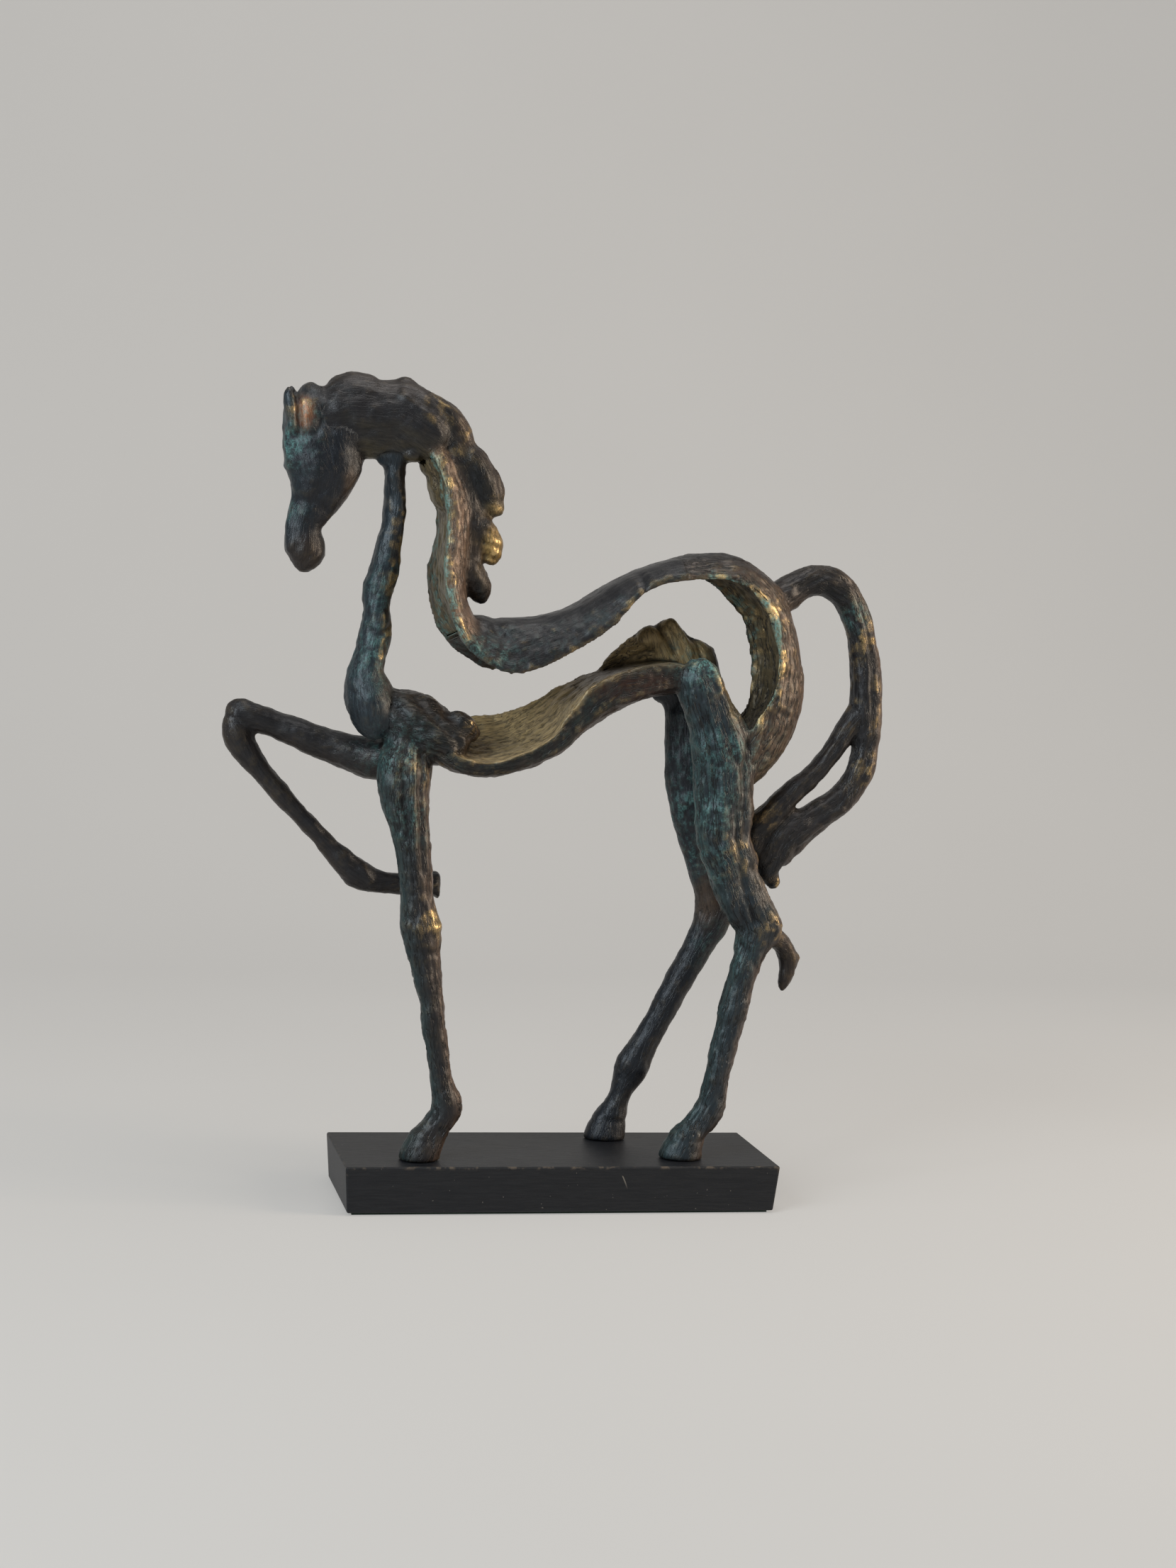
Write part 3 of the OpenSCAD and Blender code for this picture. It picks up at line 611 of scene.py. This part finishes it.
# Patina by the way each face of a casting looks: ahead, to the tail, to the sides, up and down. Apart from
# each casting's own patina, these differences are painted light and shade: a face is made cooler, warmer,
# lighter or darker by where the lamps' light falls on it.
OLIVE = (0.095, 0.076, 0.036)
TAN = (0.130, 0.100, 0.052)
BROWN = (0.062, 0.042, 0.029)
PINK_BROWN = (0.110, 0.072, 0.050)
UMBER = (0.026, 0.019, 0.015)
CHARCOAL = (0.013, 0.013, 0.015)
BLACK = (0.007, 0.008, 0.009)
NAVY = (0.007, 0.010, 0.015)
SLATE = (0.014, 0.022, 0.029)
TEAL = (0.020, 0.042, 0.044)
COPPER = (0.220, 0.095, 0.045)
GOLD = (0.300, 0.200, 0.070)
# a pale straw, laid on only as painted light on faces in shade
LIT_STRAW = (0.420, 0.310, 0.150)
RED_BROWN = (0.028, 0.012, 0.008)
# each row: ahead, to the tail, to the sides, up, down; the colours differ within a row as painted light and
# shade
PATINA_AND_PAINTED_LIGHT = {
    "head": (SLATE, UMBER, NAVY, CHARCOAL, UMBER),
    "upper_neck": (CHARCOAL, UMBER, CHARCOAL, UMBER, OLIVE),
    "throat_strand": (SLATE, BROWN, SLATE, TEAL, SLATE),
    "crest_ribbon": (OLIVE, PINK_BROWN, PINK_BROWN, PINK_BROWN, OLIVE),
    "mane": (BLACK, BROWN, BLACK, UMBER, BLACK),
    "back_ribbon": (CHARCOAL, CHARCOAL, CHARCOAL, CHARCOAL, BROWN),
    "croup_ribbon": (OLIVE, PINK_BROWN, BROWN, CHARCOAL, OLIVE),
    "belly_ribbon": (UMBER, BROWN, BLACK, TAN, BROWN),
    "right_flank": (OLIVE, BROWN, OLIVE, TAN, UMBER),
    "shoulder": (SLATE, BROWN, BLACK, UMBER, BROWN),
    "foreleg_left": (TEAL, PINK_BROWN, CHARCOAL, UMBER, UMBER),
    "foreleg_right": (UMBER, UMBER, CHARCOAL, CHARCOAL, UMBER),
    "hind_leg_left": (TEAL, PINK_BROWN, SLATE, TEAL, UMBER),
    "hind_leg_right": (NAVY, UMBER, NAVY, NAVY, BLACK),
    "tail_outer": (CHARCOAL, PINK_BROWN, CHARCOAL, UMBER, BLACK),
    "tail_inner": (CHARCOAL, UMBER, CHARCOAL, UMBER, BLACK),
    "tail_end_lock": (CHARCOAL, BROWN, UMBER, UMBER, UMBER),
}
patinas_and_painted_light = np.array([PATINA_AND_PAINTED_LIGHT[n] for n in CASTINGS]).reshape(len(CASTINGS), -1)
lit_and_shaded_colours = relax(patinas_and_painted_light[belongs], times=10).reshape(-1, 5, 3)
broad = relax(normal, times=5)
broad /= np.linalg.norm(broad, axis=1)[:, None]
# painted light and shade: each face takes the colour for the way it looks
painted_light_lengthwise = np.where(broad[:, :1] < 0, lit_and_shaded_colours[:, 0], lit_and_shaded_colours[:, 1])
painted_light_sideways = lit_and_shaded_colours[:, 2]
painted_light_upright = np.where(broad[:, 2:] > 0, lit_and_shaded_colours[:, 3], lit_and_shaded_colours[:, 4])
shares = broad**2
patina_and_painted_light = relax(painted_light_lengthwise * shares[:, :1] + painted_light_sideways * shares[:, 1:2] + painted_light_upright * shares[:, 2:], times=3)

# Where green patina has bloomed and where the bronze is rubbed bright: x, height, radius and strength.
BLOOMS = [
    # head, throat strand, withers and chest
    (-177, 430, 13, 0.9), (-174, 395, 8, 0.5), (-166, 449, 7, 0.5), (-112, 352, 16, 0.45),
    (-118, 318, 20, 0.5), (-66, 324, 8, 0.5), (-52, 318, 9, 0.4), (-105, 260, 16, 0.5), (-99, 225, 14, 0.4),
    # near thigh, croup and tail
    (70, 320, 13, 1.0), (84, 268, 20, 0.6), (76, 236, 16, 0.7), (80, 205, 14, 0.5), (98, 150, 12, 0.3),
    (100, 290, 7, 0.6), (166, 352, 8, 0.7),
]
RUBBED = [
    # ear, neck, mane and the back edge of the throat strand
    (-169, 452, 6, 0.5), (-90, 455, 8, 0.5), (-73, 440, 6, 0.5), (-82, 432, 8, 0.4), (-54, 400, 6, 0.7),
    (-55, 380, 9, 1.0), (-107, 396, 8, 0.5), (-107, 380, 6, 0.7), (-109, 365, 6, 0.8), (-107, 350, 7, 0.9),
    (-107, 335, 7, 0.8), (-106, 318, 7, 0.5),
    # shoulder and near foreleg
    (-62, 279, 6, 0.6), (-86, 291, 5, 0.5), (-90, 250, 14, 0.35), (-78, 168, 10, 0.8),
    # back, croup and flank
    (-8, 318, 8, 0.35), (28, 350, 6, 0.9), (60, 330, 9, 0.6), (78, 338, 12, 0.6), (85, 308, 8, 0.9),
    (92, 296, 6, 0.7), (108, 350, 9, 0.9), (114, 326, 9, 0.8),
    # hock, tail and spur
    (98, 210, 14, 0.35), (118, 230, 8, 0.4), (130, 189, 5, 0.7), (121, 166, 8, 0.6), (143, 148, 4, 0.8),
    (176, 340, 14, 0.6), (181, 300, 14, 0.5), (180, 262, 10, 0.5),
]

# Where a casting is toned apart from its other faces: casting, x, height, the two radii, colour, strength, and
# the way that those faces look, or None for all of them. An entry that gives a way to look is painted light:
# it brightens faces that lie in shade, on the far flank, the belly's inner face and the croup's and crest's
# faces ahead, as if they were lit.
AHEAD, LEFT, UP = (-1, -0.2, 0), (-0.3, -1, 0), (0, -0.1, 1)
TONED_AND_PAINTED_LIGHT = [
    ("head", -167, 448, 5, 9, COPPER, 1.0, None),
    ("head", -177, 447, 5, 13, SLATE, 1.0, None),
    ("head", -162, 369, 11, 12, UMBER, 0.9, None),
    ("head", -150, 425, 14, 15, NAVY, 0.8, None),
    ("head", -139, 408, 4, 12, BROWN, 0.6, None),
    ("mane", -55, 380, 7, 11, GOLD, 1.0, None),
    ("mane", -54, 401, 7, 6, TAN, 0.8, None),
    ("mane", -66, 376, 4, 26, UMBER, 0.7, None),
    ("mane", -74, 446, 7, 12, BROWN, 0.7, None),
    ("belly_ribbon", 30, 305, 36, 9, RED_BROWN, 0.8, None),
    # painted light on the far hind leg's web, where it looks left
    ("hind_leg_right", 62, 330, 26, 18, LIT_STRAW, 1.0, LEFT),
    ("hind_leg_right", 92, 178, 8, 18, BROWN, 0.8, None),
    ("foreleg_left", -77, 168, 5, 12, TAN, 0.8, None),
    ("hind_leg_left", 88, 305, 5, 18, OLIVE, 0.8, None),
    # painted light: the belly's inner face, the far flank and the croup's and crest's faces ahead, brightened
    # as if lit
    ("belly_ribbon", -40, 285, 65, 35, LIT_STRAW, 0.75, UP),
    ("right_flank", 45, 325, 25, 20, LIT_STRAW, 1.0, LEFT),
    ("croup_ribbon", 100, 325, 22, 50, TAN, 0.9, AHEAD),
    ("crest_ribbon", -90, 375, 20, 60, TAN, 0.5, AHEAD),
    ("tail_outer", 128, 196, 8, 10, NAVY, 0.7, None),
]
for name, px, pz, reach_x, reach_z, colour, strength, looking in TONED_AND_PAINTED_LIGHT:
    share = strength * np.exp(-(((co[:, 0] - px) / reach_x) ** 2 + ((co[:, 2] - pz) / reach_z) ** 2) ** 2)
    share = share * (belongs == CASTINGS.index(name))
    if looking is not None:
        share = share * ease(facing @ np.array(looking), 0.1, 0.6)
    patina_and_painted_light = patina_and_painted_light * (1 - share[:, None]) + np.array(colour) * share[:, None]
patina_and_painted_light = relax(patina_and_painted_light, times=2)


def painted(spots):
    """How strongly each vertex is touched by a list of spots."""
    amount = np.zeros(count)
    for px, pz, radius, strength in spots:
        near = np.exp(-((co[:, 0] - px) ** 2 + (co[:, 2] - pz) ** 2) / radius**2)
        amount = np.maximum(amount, strength * near)
    return amount


gritty = 0.5 + 0.5 * rough(co / 2.3, seed=71, octaves=3)
broken = ease(0.5 + 0.5 * rough(co / 4.5, seed=81, octaves=2), 0.40, 0.75)
# Along the inner edge of a ribbon's rims a thin line of green, with the metal bare in chips beside it.
EDGE_LINES = {
    "crest_ribbon": [
        (-93, 427), (-89, 416), (-86, 404), (-85, 390), (-85.5, 380), (-87, 370),
        (-85, 360), (-80, 349), (-78, 335), (-73, 325), (-62, 319),
    ],
    "croup_ribbon": [
        (70, 371), (83, 366), (95, 362), (106, 354), (112, 341),
        (113, 326), (112, 314), (109, 299), (99, 288),
    ],
}
GREEN_WIDTH, BARE_WIDTH, BARE_SHIFT, RIM_START = 2.6, 1.8, 4.2, 12
GREEN_LINE, BARE_LINE, BARE_STRAND = 1.6, 0.9, 0.8
edge_green = np.zeros(count)
edge_bare = np.zeros(count)
for name, line in EDGE_LINES.items():
    mine = np.flatnonzero((belongs == CASTINGS.index(name)) & (np.abs(co[:, 1]) > RIM_START))
    _, _, far = along(line, co[mine, 0], co[mine, 2])
    edge_green[mine] = GREEN_LINE * np.exp(-((far / GREEN_WIDTH) ** 2))
    _, _, far = along(line, co[mine, 0] - BARE_SHIFT, co[mine, 2])
    edge_bare[mine] = BARE_LINE * np.exp(-((far / BARE_WIDTH) ** 2))
# The throat strand is rubbed bare along its back edge, between the bulb at its foot and the jaw.
BACK_EDGE = (0.85, -0.5, 0)
back_edge = ease(facing @ np.array(BACK_EDGE), 0.70, 0.95)
back_edge *= ease(co[:, 2], 300, 320) * (1 - ease(co[:, 2], 400, 415))
edge_bare += BARE_STRAND * back_edge * (belongs == CASTINGS.index("throat_strand"))
bloom = np.clip((painted(BLOOMS) + 0.08 * rim + edge_green) * ease(gritty + 0.4 * rub, 0.30, 1.05), 0, 1)
rubbed = np.clip(((painted(RUBBED) + edge_bare) * (0.3 + rub) + (0.04 + 0.12 * rim) * rub) * broken, 0, 1)

# The patinated bronze itself. Its colour is worked into each casting's own skin, as the patina with painted
# light and shade in it, and as "bloom", "rubbed", "pit", "cracked" and "flow", so one finish serves all of
# them and crosses the welds unbroken.
BRONZE_METAL = (0.56, 0.40, 0.19)
VERDIGRIS = (0.14, 0.35, 0.33)
STREAK_DARK, STREAK_LIGHT = (0.62, 0.62, 0.66), (1.40, 1.36, 1.32)
PIT_BLACK = (0.005, 0.005, 0.006)
CRACK_BLACK = (0.004, 0.004, 0.004)
bronze, start, shader = new_material("patinated_bronze", Specular_IOR_Level=0.44)


def worn(name):
    """What the skin holds under this name."""
    return start.node("ShaderNodeAttribute", {"attribute_type": "GEOMETRY", "attribute_name": name})


drawn = worn("flow")("Vector")
place = start.node("ShaderNodeTexCoord")("Object")
streaks = drawn.stretch(0.10, 0.9, 0.9).noise(1.0, detail=4, rough=0.62)
grit = place.noise(900, detail=4, rough=0.65)
mottle = place.noise(120, detail=3, rough=0.6)
specks = place.noise(1700, detail=2, rough=0.5)
pits = worn("pit")("Fac")
vein = (drawn.stretch(0.035, 0.24, 0.24).noise(1.0, detail=3, rough=0.62) - 0.5).size()
cracks = (worn("cracked")("Fac") * (1 - vein.step(0.004, 0.034))).clip()
bright = (worn("rubbed")("Fac") * (0.55 + 0.9 * specks.step(0.42, 0.62))).clip()
green = (worn("bloom")("Fac") * (0.35 + 1.1 * grit.step(0.40, 0.66))).clip()
# this colour is the patina with its painted light and shade
colour = worn("patina_and_painted_light")("Color")
shade = (streaks * 0.7 + mottle * 0.3).step(0.34, 0.66)
base = shade.mix(colour.tinted(STREAK_DARK), colour.tinted(STREAK_LIGHT))
base = (pits * 0.55).mix(base, PIT_BLACK)
base = (green * 0.55).mix(base, VERDIGRIS)
base = (bright * 0.85).mix(base, BRONZE_METAL)
base = (cracks * 0.85).mix(base, CRACK_BLACK)
relief = streaks * 0.5 + grit * 0.35 + specks * 0.15 - cracks * 0.8
feed(
    shader,
    Base_Color=base,
    Metallic=(0.30 + bright * 0.65 - green * 0.3).clip(),
    Roughness=(0.24 + 0.26 * grit + 0.2 * pits + 0.15 * green - 0.04 * bright).clip(),
    Normal=relief.bump(0.5, 0.0008),
)


def write_attribute(mesh, name, kind, values):
    """Notes one value for each vertex of a mesh, for the material to read."""
    key = {"FLOAT": "value", "FLOAT_VECTOR": "vector", "FLOAT_COLOR": "color"}[kind]
    flat = np.ascontiguousarray(values, np.float32).ravel()
    mesh.attributes.new(name, kind, "POINT").data.foreach_set(key, flat)


def top_of(group, v):
    """The vertex that stands for the loop of open edges that v is on."""
    while group[v] != v:
        v = group[v]
    return v


# Parting the skin at the welds. Each casting keeps its own faces and a ring that dips under its neighbour,
# and is closed inside the weld, so it is a whole piece by itself.
DIP = 0.6
quads = np.zeros(len(skin.polygons) * 4, np.int64)
skin.polygons.foreach_get("vertices", quads)
quads = quads.reshape(-1, 4)
votes = np.zeros((count, len(CASTINGS)))
votes[np.arange(count), belongs] = 1
votes = relax(votes, times=8)
face_owner = np.argmax(votes[quads].sum(axis=1), axis=1)
patina_light_and_alpha = np.column_stack([patina_and_painted_light, np.ones(count)])
for index, name in enumerate(CASTINGS):
    core = quads[face_owner == index]
    in_core = np.zeros(count, bool)
    in_core[core.ravel()] = True
    ring = quads[(face_owner != index) & in_core[quads].any(axis=1)]
    faces = np.concatenate([core, ring])
    used = np.unique(faces)
    renumber = np.full(count, -1)
    renumber[used] = np.arange(len(used))
    points = co[used] - normal[used] * (DIP * ~in_core[used])[:, None]
    faces = renumber[faces]
    # the open edges, in loops, each fanned to a point inside the weld
    sides = np.concatenate([faces[:, [k, (k + 1) % 4]] for k in range(4)])
    codes = sides[:, 0] * len(used) + sides[:, 1]
    reverse = sides[:, 1] * len(used) + sides[:, 0]
    open_sides = sides[~np.isin(codes, reverse)]
    open_sides = [(int(a), int(b)) for a, b in open_sides]
    group = {v: v for side in open_sides for v in side}
    for a, b in open_sides:
        group[top_of(group, a)] = top_of(group, b)
    hubs = {}
    for a, b in open_sides:
        hubs.setdefault(top_of(group, a), []).append((a, b))
    caps = []
    extra = []
    for rim_sides in hubs.values():
        hub = len(used) + len(extra)
        extra.append(points[[a for a, b in rim_sides]].mean(axis=0))
        caps += [(b, a, hub) for a, b in rim_sides]
    sources = np.concatenate([used, np.full(len(extra), used[0], np.int64)])
    all_points = np.concatenate([points, np.array(extra).reshape(-1, 3)]) * MM
    mesh = bpy.data.meshes.new(name + "_casting")
    mesh.from_pydata(all_points.tolist(), [], faces.tolist() + caps)
    mesh.polygons.foreach_set("use_smooth", np.ones(len(mesh.polygons), bool))
    # the patina with its painted light and shade, for the material to read
    write_attribute(mesh, "patina_and_painted_light", "FLOAT_COLOR", patina_light_and_alpha[sources])
    write_attribute(mesh, "flow", "FLOAT_VECTOR", flow[sources])
    for key, values in (("bloom", bloom), ("rubbed", rubbed), ("pit", pit), ("cracked", cracked)):
        write_attribute(mesh, key, "FLOAT", values[sources])
    mesh.normals_split_custom_set_from_vertices(normal[sources])
    mesh.materials.append(bronze)
    casting = bpy.data.objects.new(name + "_casting", mesh)
    scene.collection.objects.link(casting)
    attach(casting, "root")
    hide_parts(name)
    name + "_patina"
bpy.data.meshes.remove(skin)
bpy.data.meshes.remove(rough_mesh)
for _, mesh in wax[len(CASTINGS):]:
    bpy.data.meshes.remove(mesh)

# ---------------------------------------------------------------------------------------------------------
# The plinth: one block of hardwood, its arrises eased, stained black and waxed, so the grain shows as fine
# level lines in the shine more than as colour.
STAIN_DARK, STAIN_LIGHT = (0.0035, 0.0045, 0.0070), (0.0095, 0.0105, 0.0130)
PORE_BLACK = (0.002, 0.002, 0.003)
CHIPPED = (0.12, 0.11, 0.10)
SCRATCHED = (0.22, 0.20, 0.17)
RUBBED_THROUGH = (0.11, 0.085, 0.062)
ARRIS = 0.0022  # metres, the width that wears along an edge
wood, start, shader = new_material(
    "black_stained_wood", Specular_IOR_Level=0.32, Coat_Weight=0.06, Coat_Roughness=0.3
)
place = start.node("ShaderNodeTexCoord")("Object")
wavy = place.noise(14, detail=2)
grain = place.stretch(6, 90, 90).noise(9, detail=5, rough=0.65, distortion=0.4)
pores = place.stretch(14, 260, 260).noise(9, detail=2, rough=0.5).step(0.60, 0.70)
dust = place.noise(220, detail=3, rough=0.6)
chips = place.noise(420, detail=1, rough=0.5).step(0.76, 0.78)

# the stain is rubbed through where two faces meet, most of all round the foot
across = start.node("ShaderNodeSeparateXYZ", Vector=place)
PLINTH_LOW, PLINTH_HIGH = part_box("plinth")
to_end = PLINTH_HIGH.x - across("X").size()
to_side = PLINTH_HIGH.y - across("Y").size()
to_top = PLINTH_HIGH.z - across("Z")
to_foot = across("Z") - PLINTH_LOW.z
at_end, at_side, at_top, at_foot = (1 - gap.step(0, ARRIS) for gap in (to_end, to_side, to_top, to_foot))
on_edge = at_end * at_side + at_end * at_top + at_side * at_top + (at_end + at_side) * at_foot * 1.5
worn_edge = (on_edge * dust.step(0.50, 0.66)).clip()

# a curved scratch on the front, towards the hind feet
SCRATCH_X, SCRATCH_Z, SCRATCH_MIDDLE = 0.036, 0.016, 0.018
SCRATCH_BOW, SCRATCH_LEAN = 14, 0.35
from_front = across("Y") + PLINTH_HIGH.y
over = across("Z") - SCRATCH_Z
beside = across("X") - (SCRATCH_X - SCRATCH_BOW * over * over) + over * SCRATCH_LEAN
on_line = 1 - beside.size().step(0.0002, 0.0005)
within_ends = 1 - (across("Z") - SCRATCH_MIDDLE).size().step(0.0045, 0.0055)
on_front = 1 - from_front.size().step(0.0005, 0.001)
scratch = (on_line * within_ends * on_front).clip()

base = grain.step(0.35, 0.68).mix(STAIN_DARK, STAIN_LIGHT)
base = (pores * 0.7).mix(base, PORE_BLACK)
base = (chips * 0.7).mix(base, CHIPPED)
base = (scratch * 0.75).mix(base, SCRATCHED)
base = (worn_edge * 0.7).mix(base, RUBBED_THROUGH)
relief = grain * 0.7 - pores * 0.6
feed(
    shader,
    Base_Color=base,
    Roughness=(0.34 + 0.22 * grain + 0.1 * wavy).clip(),
    Normal=relief.bump(0.35, 0.0006),
)

# ---------------------------------------------------------------------------------------------------------
# The felt: a sheet of green wool felt, cut a little smaller than the plinth and glued under it. It keeps the
# wood and the fixings off the furniture.
FELT_DARK, FELT_LIGHT = (0.012, 0.030, 0.020), (0.030, 0.062, 0.042)
felt, start, shader = new_material("green_felt", Roughness=0.95, Specular_IOR_Level=0.15, Sheen_Weight=0.4)
place = start.node("ShaderNodeTexCoord")("Object")
fibres = place.noise(1500, detail=5, rough=0.75, distortion=1.5)
feed(shader, Base_Color=fibres.step(0.3, 0.7).mix(FELT_DARK, FELT_LIGHT), Normal=fibres.bump(0.6, 0.0005))

# ---------------------------------------------------------------------------------------------------------
# The fixings: zinc-plated steel studs that go up through the plinth into the standing hooves, with a washer
# and a nut on each in the plinth's recesses.
ZINC_DARK, ZINC_LIGHT = (0.42, 0.43, 0.45), (0.62, 0.62, 0.60)
zinc, start, shader = new_material("zinc_plate", Metallic=1.0)
place = start.node("ShaderNodeTexCoord")("Object")
spangle = place.noise(700, detail=3, rough=0.6)
thread = place.stretch(0, 0, 1).noise(2400, detail=1)
feed(
    shader,
    Base_Color=spangle.step(0.3, 0.7).mix(ZINC_DARK, ZINC_LIGHT),
    Roughness=(0.28 + 0.2 * spangle).clip(),
    Normal=thread.bump(0.3, 0.0003),
)

# These five keep the shape they have, and take only their finish.
FINISHES = {"plinth": wood, "felt_sheet": felt, "mounting_studs": zinc, "washers": zinc, "nuts": zinc}
for name, material in FINISHES.items():
    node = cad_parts[name]
    node.data.materials.clear()
    node.data.materials.append(material)
